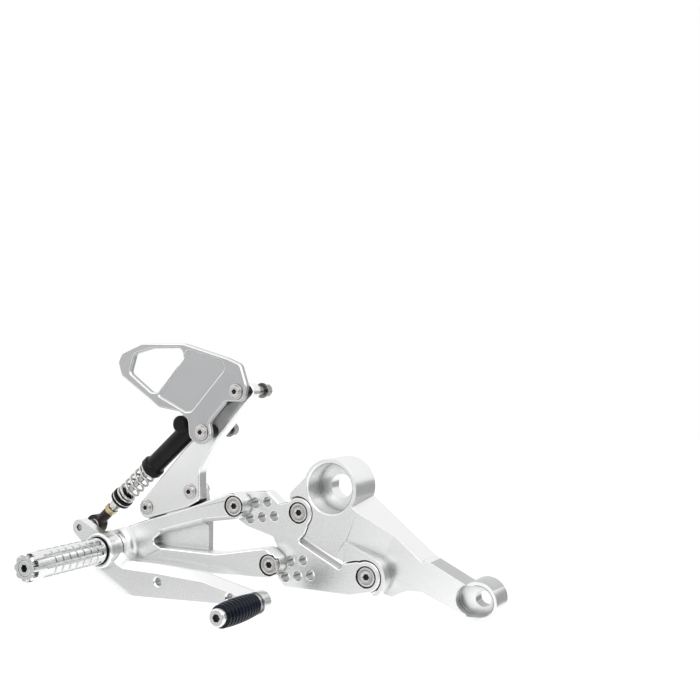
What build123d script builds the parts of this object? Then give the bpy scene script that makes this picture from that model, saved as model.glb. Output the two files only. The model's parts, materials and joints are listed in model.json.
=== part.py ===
from build123d import *
from math import cos, radians, sin
import os

os.makedirs("parts", exist_ok=True)

# Right-hand rear set: +X is forward on the bike, +Y inboard, +Z up, in millimetres.
# The origin is the axis of the upper frame bore, on the face that seats on the bike's frame.

# Frame plate
boss_depth = 36.0
upper_boss_radius = 24.5
upper_pocket_radius = 20.5
upper_pocket_depth = 22.0
upper_bore_radius = 10.0
lower_boss_x = 125.3
lower_boss_z = -80.8
lower_boss_radius = 15.5
lower_boss_depth = 26.0
lower_pocket_radius = 12.0
lower_pocket_depth = 13.0
lower_pocket_slot = 7.4
lower_bore_radius = 6.25
arm_fall_slope = 0.42
arm_fall_depth = 13.5
arm_facet = 6.3
arm_top_start = (22.0, -6.8)
arm_top_end = (80.0, -53.0)
back_relief = 10.0
ear_wall = 4.3
plate_bevel = 1.0
boss_bevel = 1.2
hole_bevel = 0.5
inner_corner = 2.0
fall_x = 28.0
fall_z = -14.1
fall_angle = 61.4

# Adjuster plate between the frame plate and the step plate
adjuster_thickness = 12.0
ear_radius = 13.0
ear_gap = 0.9
upper_ear_x = -29.6
upper_ear_z = -22.0
lower_ear_x = 33.5
lower_ear_z = -69.2
grid_columns = 3
grid_pitch = 12.1
grid_tilt = 8.4
grid_row_step_x = 6.8
grid_row_step_z = -11.6
grid_offset_x = 35.2
grid_offset_z = -46.2
grid_wall = 7.0

# Step plate, which carries the footpeg and the brake pedal
step_thickness = 16.0
step_bolt_x = -83.6
step_bolt_z = -18.3
step_top_rear = (-175.0, -36.6)
step_top_middle = (-132.0, -23.4)
web_thickness = 7.0
fork_bevel = 3.5
web_front_x = -114.5
pivot_x = -208.1
pivot_z = -62.9
pivot_boss_radius = 15.5
pivot_boss_height = 8.5

# Flat-head M8 screws of the two adjustable joints
screw_radius = 4.0
screw_head_radius = 8.0
screw_head_height = 4.0
screw_socket = 5.0
screw_sink = 0.6
counterbore_gap = 1.0
thread_clearance = 0.06

# Guard bracket and heel guard
bracket_thickness = 11.0
bracket_seam = 0.9
bracket_lug_radius = 8.5
bracket_front_bolt = (-128.1, -8.6)
bracket_rear_bolt = (-174.7, -25.5)
guard_upper_bolt = (-70.3, 79.0)
guard_lower_bolt = (-104.3, 44.4)
bracket_arm_radius = 7.5
bracket_tip_radius = 6.3
guard_thickness = 5.0
guard_recess = 1.6
m6_radius = 3.0
m6_head_radius = 6.5
m6_head_height = 2.8
m6_socket = 4.0
m6_flange_radius = 6.6
m6_flange_height = 1.6
m6_nut_height = 6.0
m6_bolt_head_height = 4.0
guard_nut_height = 9.0
guard_spacer_length = 12.0
guard_spacer_radius = 4.2
m6_across_flats = 10.0
bolt_stick_out = 1.5

# Brake pedal on the footpeg pivot
hub_radius = 15.5
lever_thickness = 9.4
hub_boss = 6.5
washer_thickness = 1.0
seal_thickness = 1.0
seal_radius = 12.5
running_gap = 0.05
sleeve_radius = 7.0
washer_radius = 12.0
bush_wall = 2.0
pedal_arm_thickness = 8.5
pedal_pin_x = -235.5
pedal_pin_z = -45.5
pedal_pin_end_radius = 7.5
lever_bevel = 6.5
lever_fillet = 10.0
heel_facet_slope = 0.25
spare_holes = [(-147.9, -85.1), (-74.0, -90.6)]
spare_hole_bevel = 1.5
toe_x = -48.5
toe_z = -92.0
toe_boss_radius = 9.5

# Footpeg
peg_length = 86.0
peg_radius = 11.75
peg_collar = 4.0
peg_tip_length = 14.0
peg_rows = 7
peg_row_start = 10.0
peg_row_pitch = 8.4
peg_groove_width = 2.4
peg_groove_depth = 1.1
peg_flutes = 8
peg_flute_radius = 1.8
peg_flute_depth = 1.2
peg_bevel = 1.2
peg_notch_depth = 5.0
peg_notch_radius = 2.6
peg_bolt_radius = 4.0
peg_bolt_head_radius = 6.5
peg_bolt_head_height = 8.0
peg_bolt_socket = 6.0

# Toe peg
toe_collar_length = 4.5
toe_rubber_length = 46.0
toe_core_radius = 6.0
toe_rubber_radius = 10.3
toe_rib_count = 11
toe_rib_depth = 1.7
toe_barrel = 1.2
toe_collar_radius = 7.6
toe_bolt_head_radius = 7.2
toe_bolt_head_height = 5.0
toe_bolt_socket = 6.0

# Master cylinder, along an axis that starts at the centre of the rod end's ball
cylinder_angle = 41.0
cylinder_inset = 4.5
lug_height = 12.0
lug_arm = 6.0
lug_radius = 5.6
body_radius = 8.5
body_bevel = 2.0
bore_radius = 6.35
flange_radius = 10.4
flange_thickness = 5.0
flange_start = 82.0
bore_end = 145.0
body_end = 180.0
outlet_radius = 5.0
outlet_depth = 12.0
passage_radius = 2.0
inlet_along = 140.7
inlet_across = -3.8
inlet_radius = 7.5
inlet_height = 13.0
inlet_cap_depth = 4.0
inlet_cap_height = 3.6
lower_lug_along = 158.0
upper_lug_along = 168.0

# Piston and its seals, along the same axis
piston_clearance = 0.03
piston_length = 39.0
rear_cup_offset = 14.0
front_land = 3.0
cup_width = 4.0
cup_depth = 1.8
circlip_thickness = 1.2
stop_washer_thickness = 1.5
stop_washer_bore = 3.9
clip_groove_depth = 0.9
boot_length = 5.0
boot_bore = 3.6
seat_play = 0.3

# Push rod, rod end and return springs, along the same axis
rod_radius = 3.0
tip_radius = 4.0
ball_radius = 6.6
ball_width = 11.0
rod_end_radius = 9.0
rod_end_width = 8.0
rod_end_neck_radius = 4.8
rod_end_length = 20.0
spacer_radius = 5.0
rod_start = 11.0
ball_clearance = 0.08
lock_nut_height = 5.0
lock_nut_across_flats = 10.0
cone_length = 11.0
cone_small_radius = 4.4
cone_large_radius = 6.8
seat_thickness = 6.0
seat_radius = 9.8
seat_ring_width = 1.2
spring_wire = 2.4
spring_radius = 8.0
spring_turns = 6
inner_spring_wire = 1.1
inner_spring_radius = 4.3
inner_spring_turns = 7
wire_sides = 8

# Levels across the rear set, from the seat on the frame outwards
face_a = -boss_depth
adjuster_back = face_a + adjuster_thickness
step_face = face_a - step_thickness
bracket_back = step_face + bracket_thickness
guard_back = step_face - lug_height
guard_face = guard_back - guard_thickness
pivot_face = step_face - pivot_boss_height
hub_back = pivot_face - washer_thickness - running_gap
lever_face = hub_back - lever_thickness
hub_face = lever_face - hub_boss
peg_base = hub_face - running_gap - seal_thickness
arm_back = lever_face + pedal_arm_thickness
bush_bore = sleeve_radius + running_gap
cylinder_y = step_face + cylinder_inset
bracket_screw_end = face_a + m6_nut_height + bolt_stick_out
guard_nut_level = bracket_back + guard_spacer_length
guard_screw_end = guard_nut_level + guard_nut_height + bolt_stick_out

# Stations along the cylinder's axis that follow from the pieces' lengths
clip_start = flange_start + boot_length
washer_start = clip_start + circlip_thickness
piston_start = washer_start + stop_washer_thickness + seat_play
piston_end = piston_start + piston_length
tip_along = piston_start + tip_radius
rear_cup_start = piston_start + rear_cup_offset
front_cup_start = piston_end - front_land - cup_width
nut_end = rod_end_length + lock_nut_height
cone_end = nut_end + cone_length
seat_end = cone_end + seat_thickness
ring_start = cone_end + (seat_thickness - seat_ring_width) / 2
ring_end = ring_start + seat_ring_width
ring_bore = seat_radius - seat_ring_width
rod_hole = rod_radius + thread_clearance

# Bolt places that follow from the pattern of holes
pitch_x = grid_pitch * cos(radians(grid_tilt))
pitch_z = grid_pitch * sin(radians(grid_tilt))
step_bolts = [
    (step_bolt_x, step_bolt_z),
    (step_bolt_x + grid_offset_x, step_bolt_z + grid_offset_z),
]
ear_bolts = [(upper_ear_x, upper_ear_z), (lower_ear_x, lower_ear_z)]
bracket_bolt_places = [bracket_front_bolt, bracket_rear_bolt]
guard_bolt_places = [guard_upper_bolt, guard_lower_bolt]

# The master cylinder's frame: local z runs up its axis, local x points outboard
cylinder_frame = Plane(
    origin=(pedal_pin_x, cylinder_y, pedal_pin_z),
    x_dir=(0, -1, 0),
    z_dir=(cos(radians(cylinder_angle)), 0, sin(radians(cylinder_angle))),
)


# Shared shapes


def outline(*corners):
    """A closed face in X and Z from corners, each with its own rounding radius."""
    points = [(x, z) for x, z, radius in corners]
    radii = [radius for x, z, radius in corners]
    return make_face(FilletPolyline(*points, radius=radii, close=True))


def disc(place, radius):
    return Pos(place[0], place[1]) * Circle(radius)


def link(first, first_radius, second, second_radius):
    """The face that wraps two discs, as a belt wraps two pulleys."""
    rims = disc(first, first_radius).edges() + disc(second, second_radius).edges()
    return make_hull(rims)


def slab(face, inner, outer):
    """A face in X and Z made a plate between two levels of Y."""
    start = Plane.XZ.offset(-inner) * face
    return extrude(start, amount=inner - outer, dir=(0, -1, 0))


def post(place, radius, inner, outer):
    return slab(disc(place, radius), inner, outer)


def turned(*profile):
    """A solid of revolution about local z from (radius, height) points."""
    points = [(radius, 0, height) for radius, height in profile]
    return revolve(make_face(Polyline(*points, close=True)), Axis.Z)


def tube(outer, inner, start, end):
    return turned((inner, start), (outer, start), (outer, end), (inner, end))


def rod(radius, start, end):
    return turned((0, start), (radius, start), (radius, end), (0, end))


def outboard(place, level):
    """A frame at a place in X and Z whose local z points outboard from a level."""
    return Plane(origin=(place[0], level, place[1]), x_dir=(1, 0, 0), z_dir=(0, -1, 0))


def hex_prism(across_flats, start, end):
    face = RegularPolygon(across_flats / 2, 6, major_radius=False)
    return Pos(0, 0, start) * extrude(face, amount=end - start)


def eased(face, radius):
    """Rounds the inner corners where the shapes of an outline meet."""
    return offset(offset(face, radius), -radius)


def bevelled(plate, level, size):
    """Breaks the edges of a plate that lie at one level of Y."""
    rim = plate.edges().filter_by(lambda edge: abs(edge.center().Y - level) < 0.01)
    return chamfer(rim, size)


def countersink(place, radius, level, size):
    """The cone that breaks the rim of a hole in the face at a level."""
    cone = turned((0, -size), (radius, -size), (radius + size, 0), (0, 0))
    return outboard(place, level).location * cone


def falling_cut(first, second, slope, level, depth, reach):
    """What is milled off a face so that it falls inboard to a depth, to the right of a line in X and Z."""
    line = (second - first).normalized()
    frame = Plane(origin=(first.X, level, first.Y), x_dir=(line.Y, 0, -line.X), z_dir=(line.X, 0, line.Y))
    side = make_face(Polyline((0, 0), (reach, 0), (reach, depth), (depth / slope, depth), close=True))
    return frame.location * extrude(side, amount=reach, both=True)


def bevel_strip(first, second, level, drop, depth):
    """What is milled off along the edge of a face that lies to the left of a line in X and Z."""
    run = Vector(*second) - Vector(*first)
    line = run.normalized()
    frame = Plane(origin=(first[0], level, first[1]), x_dir=(0, 1, 0), z_dir=(line.X, 0, line.Y))
    corner = make_face(Polyline((2 * depth, drop), (-depth, -2 * drop), (-depth, drop), close=True))
    return frame.location * extrude(corner, amount=run.length)


def coil(wire, radius, turns, start, end):
    """A coil spring of many-sided wire whose ends lie on two levels."""
    low = start + wire / 2
    high = end - wire / 2
    path = Pos(0, 0, low) * Helix((high - low) / turns, high - low, radius)
    section = Plane(path @ 0, z_dir=path % 0) * RegularPolygon(wire / 2, wire_sides)
    return sweep(section, path, is_frenet=True)


# Frame plate and adjuster plate

adjuster_outline = eased(
    outline(
        (-95, -9.5, 5), (-60, -5.6, 4), (-47.5, -15.6, 3), (-37, -12.5, 1), (-28, -24, 1),
        (-20, -32, 3), (-23.2, -39.5, 2), (-30, -45.5, 2), (9.3, -65.2, 2), (12.5, -60, 2),
        (27, -57, 3), (37, -70, 1), (40, -81, 3), (19, -85.8, 8), (-43.4, -85.2, 6),
        (-49.5, -78, 4), (-50, -52, 3), (-54.5, -44.2, 4), (-80, -37.7, 5), (-95, -29, 5),
    )
    + disc(ear_bolts[0], ear_radius)
    + disc(ear_bolts[1], ear_radius)
    + disc(step_bolts[1], screw_radius + grid_wall),
    inner_corner,
)


def frame_plate():
    lower = (lower_boss_x, lower_boss_z)
    body = outline(
        (-37, -5, 2), (-14, 16.5, 1), (19, 14, 1), (*arm_top_start, 1), (*arm_top_end, 40),
        (113, -69, 6), (127, -72, 2), (127, -90, 2), (115, -94.4, 3), (76, -79, 8), (64, -79.5, 8),
        (50, -86, 3), (30, -80, 2), (12, -59, 1.5), (-25, -42.5, 1.5), (-22, -34, 1), (-40, -20, 2),
    )
    boss = post((0, 0), upper_boss_radius, 0, face_a)
    plate = slab(body, 0, face_a) + boss
    for place in ear_bolts:
        plate += post(place, ear_radius, -back_relief, adjuster_back)
    # The arm to the lower bore is milled down clear of the lower ear's wall, and slants along its top
    fall_start = Vector(fall_x, fall_z)
    fall_end = fall_start + Vector(1, 0).rotate(Axis.Z, fall_angle)
    reach = lower_boss_x + lower_boss_radius
    ear_seat = slab(link(ear_bolts[1], ear_radius + ear_wall, (15, -43.5), 1.5), 0, face_a)
    plate -= falling_cut(fall_start, fall_end, arm_fall_slope, face_a, arm_fall_depth, reach) - ear_seat
    plate -= bevel_strip(arm_top_start, arm_top_end, face_a, arm_facet, boss_depth) - boss
    plate += post(lower, lower_boss_radius, 0, -lower_boss_depth)
    plate -= post((0, 0), upper_pocket_radius, face_a + upper_pocket_depth, face_a)
    plate -= post((0, 0), upper_bore_radius, 0, face_a)
    slot_end = (lower_boss_x - lower_pocket_slot, lower_boss_z)
    pocket = link(lower, lower_pocket_radius, slot_end, lower_pocket_radius)
    plate -= slab(pocket, -lower_boss_depth + lower_pocket_depth, -lower_boss_depth)
    plate -= post(lower, lower_bore_radius, 0, -lower_boss_depth)
    plate -= countersink((0, 0), upper_pocket_radius, face_a, boss_bevel)
    plate -= countersink(lower, lower_pocket_radius, -lower_boss_depth, boss_bevel)
    plate -= slab(offset(adjuster_outline, ear_gap), adjuster_back, face_a)
    relief = outline(
        (-60, 20, 1), (-19, 20, 1), (8, -30, 10), (60, -62, 10), (60, -110, 1), (-60, -110, 1),
    )
    plate -= slab(relief - disc((0, 0), upper_boss_radius), 0, -back_relief)
    for place in ear_bolts:
        plate -= post(place, screw_radius + thread_clearance, -back_relief, adjuster_back)
    return plate


def grid_places():
    """The two staggered groups of holes that set the footpeg's place."""
    places = []
    for corner_x, corner_z in step_bolts:
        for row in range(2):
            for column in range(grid_columns):
                x = corner_x + column * pitch_x + row * grid_row_step_x
                z = corner_z + column * pitch_z + row * grid_row_step_z
                places.append((x, z))
    return places


def adjuster_plate():
    plate = bevelled(slab(adjuster_outline, adjuster_back, face_a), face_a, plate_bevel)
    for place in grid_places():
        plate -= post(place, screw_radius + thread_clearance, adjuster_back, face_a)
        plate -= countersink(place, screw_radius, face_a, hole_bevel)
    for place in ear_bolts:
        plate -= post(place, screw_radius + thread_clearance, adjuster_back, face_a)
        plate -= head_recess(place, face_a)
    return plate


def head_recess(place, level):
    """The counterbore that takes the head of an M8 screw just below a face."""
    return post(place, screw_head_radius + counterbore_gap, level + screw_head_height + screw_sink, level)


def flat_screw(place, level, end):
    """An M8 screw whose thin head lies in a counterbore of the face at a level."""
    length = end - level - screw_sink
    screw = turned(
        (0, 0), (screw_head_radius - hole_bevel, 0), (screw_head_radius, -hole_bevel),
        (screw_head_radius, -screw_head_height), (screw_radius, -screw_head_height),
        (screw_radius, -length), (0, -length),
    )
    screw -= hex_prism(screw_socket, -screw_socket / 2, 0)
    return outboard(place, level + screw_sink).location * screw


# Step plate


def step_plate():
    body = outline(
        (-208, -48, 3), (*step_top_rear, 60), (*step_top_middle, 60), (-84.5, -6.2, 10), (-71, -15.5, 9),
        (-80, -29.2, 5), (-114, -34.2, 8), (-160, -47.5, 4), (-170.5, -55.4, 3), (-160, -60, 4),
        (-100.7, -60, 30), (-52, -50.8, 8), (-36, -62, 9), (-46, -75.6, 9), (-107.8, -77.4, 40),
        (-187, -75.4, 20), (-206, -76, 3),
    )
    profile = eased(body + disc((pivot_x, pivot_z), pivot_boss_radius), inner_corner)
    plate = bevelled(slab(profile, face_a, step_face), step_face, plate_bevel)
    fork = [(-81, -29.3), (-114, -34.2), (-160, -47.5)]
    for first, second in zip(fork, fork[1:]):
        plate -= bevel_strip(first, second, step_face, fork_bevel, fork_bevel)
    web = outline(
        (-158, -46, 1), (web_front_x, -33, 1), (web_front_x, -62, 1), (-158, -62, 1), (-172, -55.4, 1),
    )
    plate += slab(web, face_a, face_a - web_thickness)
    for place in bracket_bolt_places:
        root = (place[0] + 0.3 * bracket_lug_radius, place[1] - 1.6 * bracket_lug_radius)
        plate += slab(link(place, bracket_lug_radius, root, bracket_lug_radius), face_a, bracket_back)
    # The pivot boss runs out into the plate with a hollow flare
    flare_radius = pivot_boss_radius + pivot_boss_height
    flare = make_face(
        Polyline((pivot_boss_radius, pivot_boss_height), (0, pivot_boss_height), (0, 0), (flare_radius, 0))
        + CenterArc((flare_radius, pivot_boss_height), pivot_boss_height, 180, 90)
    )
    pivot = (pivot_x, pivot_z)
    boss = outboard(pivot, step_face).location * revolve(Plane.XZ * flare, Axis.Z)
    plate += boss & slab(profile, face_a, pivot_face)
    plate -= post(pivot, peg_bolt_radius + thread_clearance, face_a, pivot_face)
    for place in step_bolts:
        plate -= post(place, screw_radius + thread_clearance, face_a, step_face)
        plate -= head_recess(place, step_face)
    for place in bracket_bolt_places:
        plate -= post(place, m6_radius + thread_clearance, face_a, bracket_back)
    return plate


# Guard bracket and heel guard


def guard_bracket():
    lower = Vector(*guard_lower_bolt)
    upper = Vector(*guard_upper_bolt)
    along = (upper - lower).normalized()
    across = along.rotate(Axis.Z, -90)
    wide = across * bracket_arm_radius
    tip = along * bracket_tip_radius
    narrow = across * bracket_tip_radius
    end_radius = 0.98 * bracket_tip_radius
    rear_x, rear_z = step_top_rear
    middle_x, middle_z = step_top_middle
    corners = [
        (-187, -27, 8.5), (rear_x - 2.5, rear_z - 0.5 + bracket_seam, 8),
        (middle_x + 1, middle_z + bracket_seam, 6), (-118.3, -15.6, 4), (-119, 9.5, 16),
    ]
    ends = [(lower + wide, 25), (upper + tip + narrow, end_radius), (upper + tip - narrow, end_radius)]
    corners += [(place.X, place.Y, radius) for place, radius in ends + [(lower - wide, 25)]]
    corners += [(-134.6, 27.6, 40)]
    plate = bevelled(slab(outline(*corners), bracket_back, step_face), step_face, plate_bevel)
    for place in bracket_bolt_places + guard_bolt_places:
        plate -= post(place, m6_radius + thread_clearance, bracket_back, step_face)
    return plate


def heel_guard():
    rim = outline(
        (-190.5, 91, 5), (-194.5, 103, 6), (-190, 111, 5), (-168, 119.4, 6), (-123.5, 118.8, 10),
        (-79, 106.6, 12), (-66, 101.5, 6), (-60, 84, 6), (-63, 70.5, 7), (-80.5, 70.5, 4),
        (-97, 53, 4), (-94.5, 39, 8), (-106, 33.2, 8), (-117.5, 38.5, 8), (-119, 54.4, 6),
        (-128, 61.2, 8), (-150, 64.2, 10), (-158, 70, 6),
    )
    window = outline(
        (-181.2, 93.4, 4), (-175.8, 110, 4), (-157, 114.6, 5), (-126, 115, 6), (-123.2, 106.5, 5),
        (-151.5, 77, 4), (-157.8, 77, 4),
    )
    panel = outline(
        (-119.2, 112.8, 4), (-84, 104, 5), (-82.4, 97, 4), (-115.4, 61.6, 5), (-121, 61, 4),
        (-150, 74.4, 2),
    )
    plate = slab(rim - window, guard_back, guard_face)
    plate -= slab(panel, guard_face + guard_recess, guard_face)
    plate = bevelled(plate, guard_face, plate_bevel)
    for place in guard_bolt_places:
        plate -= post(place, m6_radius + thread_clearance, guard_back, guard_face)
    return plate


def button_screw(place, level, end):
    """A flanged button-head M6 screw that seats on the face at a level."""
    length = end - level
    screw = turned(
        (0, m6_head_height), (0.66 * m6_head_radius, m6_head_height),
        (0.78 * m6_head_radius, 0.8 * m6_head_height), (0.82 * m6_head_radius, 0.4 * m6_head_height),
        (m6_head_radius, 0.35 * m6_head_height), (m6_head_radius, 0), (m6_radius, 0), (m6_radius, -length),
        (0, -length),
    )
    screw -= hex_prism(m6_socket, 0.25 * m6_head_height, m6_head_height)
    return outboard(place, level).location * screw


def flange_nut(place, level, height):
    """An M6 flange nut on the inboard face at a level."""
    nut = tube(m6_flange_radius, m6_radius + thread_clearance, -m6_flange_height, 0)
    nut += hex_prism(m6_across_flats, -height, -m6_flange_height)
    nut -= rod(m6_radius + thread_clearance, -height, 0)
    return outboard(place, level).location * nut


def guard_spacer(place):
    ring = disc(place, guard_spacer_radius) - disc(place, m6_radius + thread_clearance)
    return slab(ring, guard_nut_level, bracket_back)


# Footpeg and its pivot


def footpeg():
    profile = [(0, 0), (peg_radius, 0)]
    for row in range(peg_rows):
        start = peg_row_start + row * peg_row_pitch
        floor = peg_radius - peg_groove_depth
        profile += [
            (peg_radius, start),
            (floor, start + 0.3 * peg_groove_width),
            (floor, start + 0.7 * peg_groove_width),
            (peg_radius, start + peg_groove_width),
        ]
    profile += [(peg_radius, peg_length - peg_bevel), (peg_radius - peg_bevel, peg_length), (0, peg_length)]
    peg = turned(*profile)
    flute_run = peg_length - peg_tip_length - peg_collar
    flute = Pos(0, 0, peg_collar + flute_run / 2) * Cylinder(peg_flute_radius, flute_run)
    for place in PolarLocations(peg_radius + peg_flute_radius - peg_flute_depth, peg_flutes):
        peg -= place * flute
    notch = Pos(0, 0, peg_length) * Cylinder(peg_notch_radius, 2 * peg_notch_depth)
    for place in PolarLocations(peg_radius, peg_flutes, 180 / peg_flutes):
        peg -= place * notch
    peg -= rod(peg_bolt_radius + thread_clearance, 0, peg_length)
    seat = peg_length - peg_bolt_head_height
    peg -= rod(peg_bolt_head_radius + thread_clearance, seat, peg_length)
    return outboard((pivot_x, pivot_z), peg_base).location * peg


def footpeg_bolt():
    seat = peg_length - peg_bolt_head_height
    end = peg_base - face_a
    bolt = turned(
        (0, end), (peg_bolt_radius, end), (peg_bolt_radius, seat), (peg_bolt_head_radius, seat),
        (peg_bolt_head_radius, peg_length - hole_bevel), (peg_bolt_head_radius - hole_bevel, peg_length),
        (0, peg_length),
    )
    bolt -= hex_prism(peg_bolt_socket, peg_length - peg_bolt_head_height / 2, peg_length)
    return outboard((pivot_x, pivot_z), peg_base).location * bolt


def pivot_ring(outer, inner, inner_level, outer_level):
    ring = disc((pivot_x, pivot_z), outer) - disc((pivot_x, pivot_z), inner)
    return slab(ring, inner_level, outer_level)


# Brake pedal and toe peg


def lever():
    """The pedal's long lever, with its broad bevel along the top and a facet at its heel."""
    root_x = pivot_x + hub_radius - 0.5
    blank = slab(
        outline(
            (-222, -72, 3), (-217, -85, 5), (-207, -99.6, 8), (-172, -99.8, 40), (-84, -96.4, 40),
            (-48, -100, 2), (-50, -84.7, 0), (-100, -73.8, 0), (-150, -71.4, 0),
            (root_x, -71.1, lever_fillet), (root_x, pivot_z + 4, 0), (-212, pivot_z + 4, 1),
        ),
        hub_back,
        lever_face,
    )
    crest = [
        edge for edge in blank.edges().filter_by_position(Axis.Y, lever_face, lever_face)
        if edge.center().X > root_x - 0.1 and edge.center().Z > -88
    ]
    blank = chamfer(crest, lever_bevel)
    heel = (Vector(-206.5, -82.2), Vector(-177.3, -98.4))
    reach = 4 * hub_radius
    blank -= falling_cut(*heel, heel_facet_slope, lever_face, lever_thickness, reach)
    return blank


def brake_pedal():
    pivot = (pivot_x, pivot_z)
    pin = (pedal_pin_x, pedal_pin_z)
    toe = (toe_x, toe_z)
    pedal = lever()
    pedal += post(toe, toe_boss_radius, hub_back, lever_face)
    pedal += slab(link(pivot, 0.75 * hub_radius, pin, pedal_pin_end_radius), arm_back, lever_face)
    pedal += bevelled(post(pivot, hub_radius, hub_back, hub_face), hub_face, plate_bevel)
    pedal -= post(pivot, bush_bore + bush_wall, hub_back, hub_face)
    pedal -= post(pin, m6_radius + thread_clearance, arm_back, lever_face)
    pedal -= post(toe, m6_radius + thread_clearance, hub_back, lever_face)
    for place in spare_holes:
        pedal -= post(place, m6_radius, hub_back, lever_face)
        pedal -= countersink(place, m6_radius, lever_face, spare_hole_bevel)
    return pedal


def toe_peg_core():
    rubber_end = toe_collar_length + toe_rubber_length
    core = turned(
        (0, 0), (toe_collar_radius, 0), (toe_collar_radius, toe_collar_length),
        (toe_core_radius, toe_collar_length), (toe_core_radius, rubber_end), (0, rubber_end),
    )
    core -= rod(m6_radius + thread_clearance, 0, rubber_end)
    return outboard((toe_x, toe_z), lever_face).location * core


def toe_peg_rubber():
    """A ribbed sleeve, a little barrel-shaped."""
    pitch = toe_rubber_length / toe_rib_count
    profile = [(toe_core_radius, 0)]
    for rib in range(toe_rib_count):
        middle = (rib + 0.5) / toe_rib_count
        crest = toe_rubber_radius - toe_barrel * (2 * middle - 1) ** 2
        valley = crest - toe_rib_depth
        start = rib * pitch
        profile += [
            (valley, start), (crest, start + 0.25 * pitch),
            (crest, start + 0.75 * pitch), (valley, start + pitch),
        ]
    profile += [(toe_core_radius, toe_rubber_length)]
    return outboard((toe_x, toe_z), lever_face - toe_collar_length).location * turned(*profile)


def toe_peg_bolt():
    """The bolt whose broad head holds the rubber on."""
    seat = toe_collar_length + toe_rubber_length
    top = seat + toe_bolt_head_height
    bolt = turned(
        (0, -lever_thickness), (m6_radius, -lever_thickness), (m6_radius, seat), (toe_bolt_head_radius, seat),
        (toe_bolt_head_radius, top - plate_bevel), (toe_bolt_head_radius - plate_bevel, top), (0, top),
    )
    bolt -= hex_prism(toe_bolt_socket, top - toe_bolt_head_height / 2, top)
    return outboard((toe_x, toe_z), lever_face).location * bolt


# Master cylinder


def on_axis(along, across=0):
    """A place in X and Z by its distances along and across the cylinder's axis."""
    x = pedal_pin_x + along * cos(radians(cylinder_angle)) + across * sin(radians(cylinder_angle))
    z = pedal_pin_z + along * sin(radians(cylinder_angle)) - across * cos(radians(cylinder_angle))
    return (x, z)


def along_cylinder(shape):
    return cylinder_frame.location * shape


def master_body():
    body = turned(
        (0, flange_start), (flange_radius, flange_start), (flange_radius, flange_start + flange_thickness),
        (body_radius, flange_start + flange_thickness + body_bevel), (body_radius, body_end - body_bevel),
        (body_radius - body_bevel, body_end), (0, body_end),
    )
    body = along_cylinder(body)
    root_radius = body_radius - body_bevel
    for root_along, bolt in zip([upper_lug_along, lower_lug_along], guard_bolt_places):
        arm = link(on_axis(root_along), root_radius, bolt, lug_radius)
        body += slab(arm, guard_back + lug_arm, guard_back)
        body += post(on_axis(root_along), root_radius, cylinder_y, guard_back)
        body += post(bolt, lug_radius, step_face, guard_back)
    inlet = on_axis(inlet_along, inlet_across)
    body += post(inlet, inlet_radius, cylinder_y, cylinder_y - inlet_height)
    bore = rod(bore_radius, flange_start, bore_end)
    bore += rod(bore_radius + clip_groove_depth, clip_start, washer_start)
    bore += rod(passage_radius, bore_end, body_end)
    bore += rod(outlet_radius, body_end - outlet_depth, body_end)
    body -= along_cylinder(bore)
    body -= post(inlet, passage_radius, cylinder_y, cylinder_y - inlet_height)
    for place in guard_bolt_places:
        body -= post(place, m6_radius + thread_clearance, step_face, guard_back)
    return body


def inlet_cap():
    """The moulded cap that closes the fluid inlet."""
    cap = turned(
        (0, -inlet_cap_depth), (passage_radius, -inlet_cap_depth), (passage_radius, 0), (inlet_radius, 0),
        (inlet_radius, 0.4 * inlet_cap_height), (0.75 * inlet_radius, 0.85 * inlet_cap_height),
        (0, inlet_cap_height),
    )
    return outboard(on_axis(inlet_along, inlet_across), cylinder_y - inlet_height).location * cap


def piston():
    land = bore_radius - piston_clearance
    groove = land - cup_depth
    rear_cup_end = rear_cup_start + cup_width
    front_cup_end = front_cup_start + cup_width
    core = turned(
        (0, piston_start), (land, piston_start), (land, rear_cup_start), (groove, rear_cup_start),
        (groove, rear_cup_end), (land, rear_cup_end), (land, rear_cup_end + cup_width),
        (groove, rear_cup_end + 1.25 * cup_width), (groove, front_cup_start - cup_width),
        (land, front_cup_start - cup_width), (land, front_cup_start), (groove, front_cup_start),
        (groove, front_cup_end), (land, front_cup_end), (land, piston_end), (0, piston_end),
    )
    core -= Pos(0, 0, tip_along) * Sphere(tip_radius + seat_play)
    core -= rod(tip_radius + seat_play, piston_start, tip_along)
    return along_cylinder(core)


def cup_seal(start):
    land = bore_radius - piston_clearance
    return along_cylinder(tube(land, land - cup_depth, start, start + cup_width))


def push_rod():
    body = rod(rod_radius, rod_start, tip_along)
    body += Pos(0, 0, tip_along) * Sphere(tip_radius)
    return along_cylinder(body)


def rod_end():
    """The rod end's eye and its threaded neck."""
    half_width = rod_end_width / 2
    body = post((pedal_pin_x, pedal_pin_z), rod_end_radius, cylinder_y + half_width, cylinder_y - half_width)
    body += along_cylinder(rod(rod_end_neck_radius, ball_radius + ball_clearance, rod_end_length))
    body -= along_cylinder(rod(rod_hole, rod_start, rod_end_length))
    body -= Pos(pedal_pin_x, cylinder_y, pedal_pin_z) * Sphere(ball_radius + ball_clearance)
    return body


def rod_end_ball():
    ball = Sphere(ball_radius) & Rot(90, 0, 0) * Cylinder(ball_radius, ball_width)
    ball -= Rot(90, 0, 0) * Cylinder(m6_radius + thread_clearance, ball_width)
    return Pos(pedal_pin_x, cylinder_y, pedal_pin_z) * ball


def rod_end_spacer():
    pin = (pedal_pin_x, pedal_pin_z)
    ring = disc(pin, spacer_radius) - disc(pin, m6_radius + thread_clearance)
    return slab(ring, cylinder_y - ball_width / 2, arm_back)


def rod_end_bolt():
    head_level = cylinder_y + ball_width / 2
    end = lever_face + bolt_stick_out
    bolt = hex_prism(m6_across_flats, -m6_bolt_head_height, 0) + rod(m6_radius, 0, head_level - end)
    return outboard((pedal_pin_x, pedal_pin_z), head_level).location * bolt


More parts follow.
